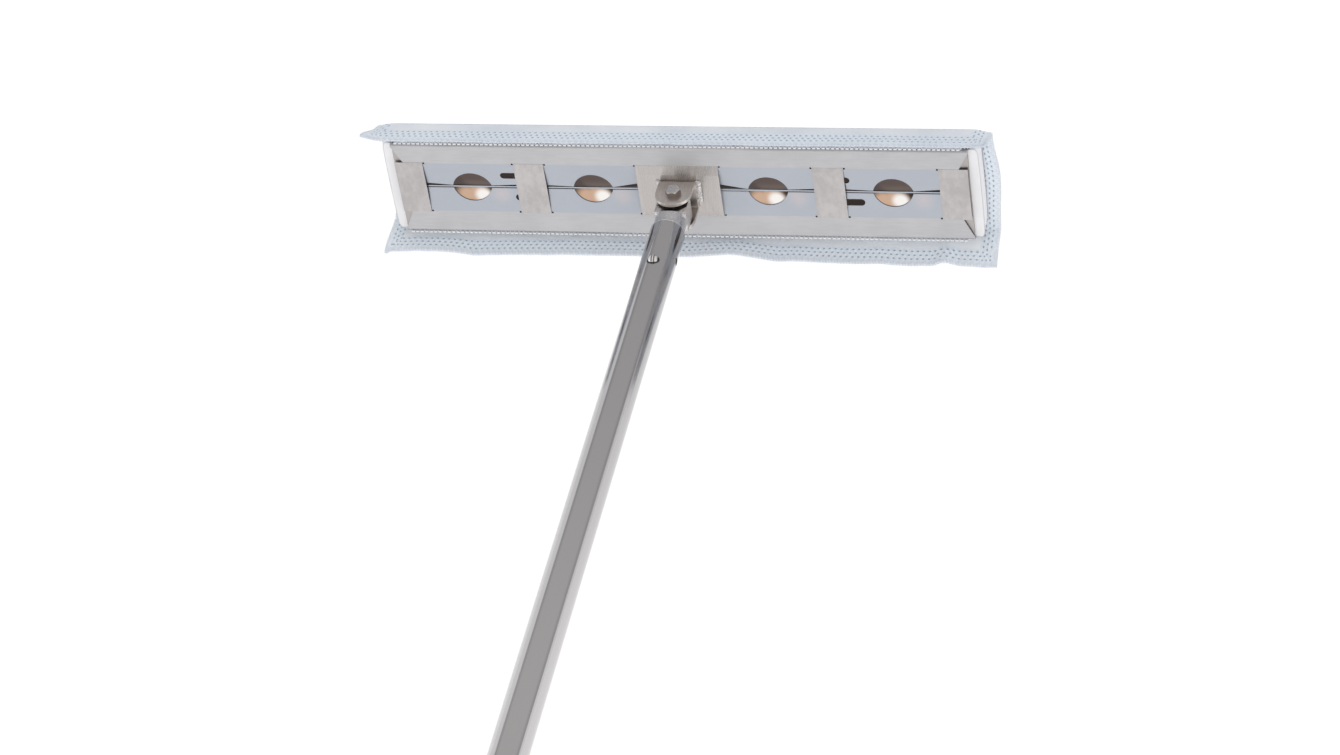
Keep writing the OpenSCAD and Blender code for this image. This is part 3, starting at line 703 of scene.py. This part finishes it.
def is_hole(i, j):
    """Whether the cell is one of the knitted tape's pits, in three staggered rows by every edge."""
    from_side, from_end = min(i, COLS - 1 - i), min(j, ROWS - 1 - j)
    for edge, run in ((from_end, i), (from_side, j)):
        if edge in PIT_ROWS and run % 2 == PIT_ROWS[edge]:
            return min(from_side, from_end) == edge
    return False


def normals_of(grid):
    """The outward normal at every point of the grid."""
    made = []
    for j, row in enumerate(grid):
        line = []
        for i in range(len(row)):
            along = row[min(i + 1, len(row) - 1)] - row[max(i - 1, 0)]
            down = grid[min(j + 1, len(grid) - 1)][i] - grid[max(j - 1, 0)][i]
            line.append(along.cross(down).normalized())
        made.append(line)
    return made


def from_edge(i, j):
    """How many cells a grid point lies in from the cloth's edge."""
    return min(i, COLS - i, j, ROWS - j)


def half_thickness(i, j):
    """Thickest at the hem, thinner over the tape and thinnest in the middle, with a wavy border."""
    away = from_edge(i, j) + 0.6 * ripple(i * 0.11, j * 0.11, 3.3)
    if away < HEM_CELLS:
        return 1.05 * MM
    return (0.9 if away < TAPE_CELLS else 0.55) * MM


class ClothMesh:
    """The cloth's points and faces as they are made, with three marks at every point."""

    def __init__(self):
        self.points = []
        self.faces = []
        self.marks = {"tape": [], "pit": [], "inner": []}

    def put(self, point, tape, pit, inner):
        self.points.append(point)
        for name, value in (("tape", tape), ("pit", pit), ("inner", inner)):
            self.marks[name].append(value)
        return len(self.points) - 1

    def press_pit(self, ring, press, inner):
        """Sinks one cell into a blind pit with a narrow lip."""
        corners = [self.points[k] for k in ring]
        centre = sum(corners, Vector()) / 4
        lip = [self.put(p.lerp(centre, 0.06), 1.0, 0.4, inner) for p in corners]
        well = [self.put(p.lerp(centre, 0.26) - press, 1.0, 1.0, inner) for p in corners]
        for outer, within in ((ring, lip), (lip, well)):
            for k in range(4):
                m = (k + 1) % 4
                self.faces.append([outer[k], outer[m], within[m], within[k]])
        self.faces.append(well)

    def knit_side(self, base, normals, side):
        """The faces of one side, whose points start at base, with pits in its tape."""
        wide = COLS + 1
        for j in range(ROWS):
            for i in range(COLS):
                a = base + j * wide + i
                ring = [a, a + 1, a + wide + 1, a + wide]
                if side < 0:
                    ring.reverse()
                if is_hole(i, j):
                    self.press_pit(ring, normals[j][i] * side * 0.62 * MM, float(side < 0))
                else:
                    self.faces.append(ring)

    def close_hem(self, sheet):
        """Narrow faces that join both sides all round the edge."""
        wide = COLS + 1
        edge = list(range(COLS)) + [j * wide + COLS for j in range(ROWS)]
        edge += [ROWS * wide + i for i in range(COLS, 0, -1)] + [j * wide for j in range(ROWS, 0, -1)]
        for a, b in zip(edge, edge[1:] + edge[:1]):
            self.faces.append([b, a, a + sheet, b + sheet])


def cloth_piece(grid):
    """The cloth as a closed sheet: two knitted faces, pits pressed into its tape, and a full hem."""
    normals = normals_of(grid)
    cloth = ClothMesh()
    for side in (1, -1):
        for j, row in enumerate(grid):
            for i, p in enumerate(row):
                on_tape = 1.0 if from_edge(i, j) < TAPE_CELLS else 0.0
                out = normals[j][i] * side * half_thickness(i, j)
                cloth.put(p + out, on_tape, 0.0, float(side < 0))
    sheet = len(cloth.points) // 2
    cloth.knit_side(0, normals, 1)
    cloth.knit_side(sheet, normals, -1)
    cloth.close_hem(sheet)
    mesh = mesh_from("pad_cloth", cloth.points, cloth.faces)
    for name, values in cloth.marks.items():
        mesh.attributes.new(name, "FLOAT", "POINT").data.foreach_set("value", values)
    obj = new_piece("pad_cloth", mesh, "pad_backing_cloth", "head")
    soft = obj.modifiers.new("soft", "SUBSURF")
    soft.levels = soft.render_levels = 1
    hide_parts("pad_backing")
    return obj


def on_cloth(grid, i, j):
    """The cloth's place and normal at a grid position between its points."""
    i, j = max(0.0, min(COLS, i)), max(0.0, min(ROWS, j))
    i0, j0 = min(int(i), COLS - 1), min(int(j), ROWS - 1)
    a = grid[j0][i0].lerp(grid[j0][i0 + 1], i - i0)
    b = grid[j0 + 1][i0].lerp(grid[j0 + 1][i0 + 1], i - i0)
    along = grid[j0][i0 + 1] - grid[j0][i0]
    down = grid[j0 + 1][i0] - grid[j0][i0]
    return a.lerp(b, j - j0), along.cross(down).normalized()


def hem_stitches(grid):
    """Overlock thread that runs over the cloth's edge all the way round."""
    reach = 1.5
    lift = 1.05 * MM
    rim = [(i, 0, 0, 1) for i in range(COLS)] + [(COLS, j, -1, 0) for j in range(ROWS)]
    rim += [(COLS - i, ROWS, 0, -1) for i in range(COLS)]
    rim += [(0, ROWS - j, 1, 0) for j in range(ROWS)]
    points = []
    for i, j, di, dj in rim:
        step = (0.25 * dj, -0.25 * di)
        for inward, side, shift in ((reach, 1, 0), (0.1, 1, 1), (0.1, -1, 1), (reach, -1, 2)):
            p, up = on_cloth(grid, i + di * inward + step[0] * shift,
                             j + dj * inward + step[1] * shift)
            if inward < reach:
                behind = on_cloth(grid, i + di * 1.1, j + dj * 1.1)[0]
                edge = on_cloth(grid, i, j)[0]
                p += (edge - behind).normalized() * 0.35 * MM
            points.append(p + up * side * lift)
    curve = bpy.data.curves.new("pad_hem_thread", "CURVE")
    curve.dimensions = "3D"
    curve.bevel_depth = 0.2 * MM
    curve.bevel_resolution = 1
    line = curve.splines.new("POLY")
    line.points.add(len(points) - 1)
    for place, p in zip(line.points, points):
        place.co = (*p, 1)
    line.use_cyclic_u = True
    obj = bpy.data.objects.new("pad_hem_thread", curve)
    scene.collection.objects.link(obj)
    curve.materials.append(FINISHES["pad_backing_cloth"])
    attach(obj, "head")
    return obj


def pile_piece():
    """The pad's working face: a crowned slab of short looped pile."""
    across, up = 228, 50
    margin = 1.2 * MM
    half_x, low, high = PAD_HALF - 9.5 * MM, pile_lo.z + margin, pile_hi.z - 3 * MM
    grid = []
    for j in range(up + 1):
        v = j / up
        row = []
        for i in range(across + 1):
            u = 2 * i / across - 1
            from_side = (1 - abs(u)) * half_x
            from_end = min(v, 1 - v) * (high - low)
            edge = min(from_side, from_end, 6 * MM) / (6 * MM)
            corner = smoothstep(1 - from_side / (8 * MM)) * smoothstep(1 - from_end / (8 * MM))
            x = u * (half_x - 2.2 * MM * corner)
            z = low + (high - low) * (0.5 + (v - 0.5) * (1 - 0.05 * corner))
            crown = 1.5 * math.sqrt(max(0.0, 1 - (1 - edge) ** 2))
            tuft = 0.22 * math.sin(i * math.pi * 0.5 + (j % 2) * math.pi / 2) * (0.6 + 0.4 * (j % 2))
            tuft += 0.34 * ripple(x * 420, z * 420, 2.0) + 0.2 * ripple(x * 60, z * 60, 5.0)
            row.append(Vector((x, pile_lo.y + (0.25 + crown + tuft * edge) * MM, z)))
        grid.append(row)
    obj = new_piece("pad_pile_face", grid_mesh("pad_pile_face", grid), "microfibre_pile", "head")
    slab = obj.modifiers.new("slab", "SOLIDIFY")
    slab.thickness = 1.1 * MM
    slab.offset = 1.0
    soft = obj.modifiers.new("soft", "SUBSURF")
    soft.levels = soft.render_levels = 1
    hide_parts("pad_pile")
    return obj


cloth_grid = cloth_start()
cloth_grid = relax_cloth(cloth_grid)
pad_cloth = cloth_piece(cloth_grid)
pad_thread = hem_stitches(cloth_grid)
pad_face = pile_piece()


# ---- End caps, tapes and welds ----

def slab_from_outline(name, outline, low, high, ease, slot, body):
    """A slab along Y from a flat (x, z) outline, with all its edges rounded."""
    count = len(outline)
    normals = []
    for k in range(count):
        run = outline[(k + 1) % count] - outline[k - 1]
        normals.append(Vector((run.y, -run.x)).normalized())
    steps = 5
    levels = [(low + ease * (1 - math.cos(math.pi / 2 * k / steps)),
               ease * (1 - math.sin(math.pi / 2 * k / steps))) for k in range(steps + 1)]
    levels += [(low + high - y, inset) for y, inset in reversed(levels)]
    points = []
    for y, inset in levels:
        for p, n in zip(outline, normals):
            q = p - n * inset
            points.append((q.x, y, q.y))
    faces = []
    for k in range(len(levels) - 1):
        for i in range(count):
            a, b = k * count + i, k * count + (i + 1) % count
            faces.append((a, b, b + count, a + count))
    faces.append(tuple(range(count))[::-1])
    faces.append(tuple((len(levels) - 1) * count + i for i in range(count)))
    mesh = mesh_from(name, points, faces)
    face_outwards(mesh)
    for face in mesh.polygons:
        face.use_smooth = len(face.vertices) == 4
    return new_piece(name, mesh, slot, body)


def cap_outline(lo, hi, side):
    """An end cap seen from behind: straight against the frame, faintly bowed, small round corners."""
    corner = 1.3 * MM
    bow = 0.5 * MM
    inner, outer = (lo.x, hi.x) if side > 0 else (hi.x, lo.x)
    points = [Vector((inner, lo.z)), Vector((inner, hi.z))]
    steps = 24
    for k in range(steps + 1):
        v = k / steps
        z = hi.z + (lo.z - hi.z) * v
        curve = bow * (2 * v - 1) ** 2
        near = min(v, 1 - v) * (hi.z - lo.z)
        if near < corner:
            curve += corner - math.sqrt(max(0.0, corner ** 2 - (corner - near) ** 2))
        points.append(Vector((outer - side * curve, z)))
    return points if side > 0 else points[::-1]


for side, name in ((-1, "end_cap_left"), (1, "end_cap_right")):
    lo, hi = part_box(name)
    cap = slab_from_outline(name + "_moulding", cap_outline(lo, hi, side), lo.y, hi.y, 0.8 * MM,
                            "white_plastic", "head")
    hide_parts(name)


def hook_strip(name, z0, z1, reach):
    """Hook tape on the frame's long wall, with a toothed edge that shows past the band."""
    lo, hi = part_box(name)
    pitch = 3.4 * MM
    count = int((hi.x - lo.x) / pitch)
    points = []
    for k in range(count * 2):
        tooth = k % 2 == 0
        x0 = lo.x + (k // 2) * pitch + (0.0 if tooth else 0.66 * pitch)
        x1 = x0 + (0.66 if tooth else 0.34) * pitch
        edge = BACK + (reach if tooth else 1.9 * MM) + 0.15 * MM * ripple(x0 * 300, z0, 6.0)
        for x in (x0, x1):
            points += [Vector((x, edge, z0)), Vector((x, hi.y, z0)), Vector((x, hi.y, z1)),
                       Vector((x, edge + 0.1 * MM, z1))]
    mesh = mesh_from(name + "_strip", points, box_faces(count * 4), smooth=False)
    face_outwards(mesh)
    strip = new_piece(name + "_strip", mesh, "hook_tape", "head")
    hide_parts(name)


hook_strip("hook_tape_top", TOP + 0.05 * MM, TOP + 1.15 * MM, 0.4 * MM)
hook_strip("hook_tape_bottom", BOTTOM - 1.15 * MM, BOTTOM - 0.05 * MM, -0.1 * MM)


def weld_beads():
    """Fillet welds down both sides of the bracket: a row of overlapped ripples each."""
    lo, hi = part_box("bracket_welds")
    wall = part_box("hinge_bracket")[1].x - 0.3 * MM
    around, along = 12, 66
    crests = 9
    points, faces = [], []
    for side in (-1, 1):
        base = len(points)
        for k in range(along + 1):
            v = k / along
            z = lo.z + 2.5 * MM + (hi.z - lo.z - 2 * MM) * v
            ripples = 0.5 + 0.5 * math.cos(v * crests * 2 * math.pi)
            end = math.sqrt(max(0.0, 1 - (2 * v - 1) ** 16))
            radius = 1.75 + 0.25 * ripples + 0.3 * ripple(v * 14, side, 2.0)
            radius *= MM * (0.35 + 0.65 * end)
            for i in range(around):
                a = 2 * math.pi * i / around
                bulge = radius * (1 + 0.06 * ripple(i * 0.9, v * 40, 8.0))
                x = wall + 1.9 * MM + bulge * 1.15 * math.cos(a)
                y = hi.y - 0.4 * MM - bulge * 0.75 * math.sin(a)
                points.append(Vector((side * x, min(y, hi.y - 0.02 * MM), z)))
        for k in range(along):
            for i in range(around):
                a, b = base + k * around + i, base + k * around + (i + 1) % around
                faces.append((a, b, b + around, a + around))
        faces.append(tuple(base + i for i in range(around)))
        faces.append(tuple(base + along * around + i for i in range(around)))
    mesh = mesh_from("weld_beads", points, faces)
    face_outwards(mesh)
    beads = new_piece("weld_beads", mesh, "weld_metal", "head")
    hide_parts("bracket_welds")


weld_beads()


def button_coil():
    """The spring below the button, as a smooth copy of its CAD part on the upper pole."""
    source = nodes["button_spring"]
    mesh = source.data.copy()
    mesh.transform(source.matrix_world)
    mesh.materials.clear()
    for face in mesh.polygons:
        face.use_smooth = True
    coil = new_piece("button_coil", mesh, "spring_steel", "upper_pole")
    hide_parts("button_spring")
    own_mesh(coil)


button_coil()
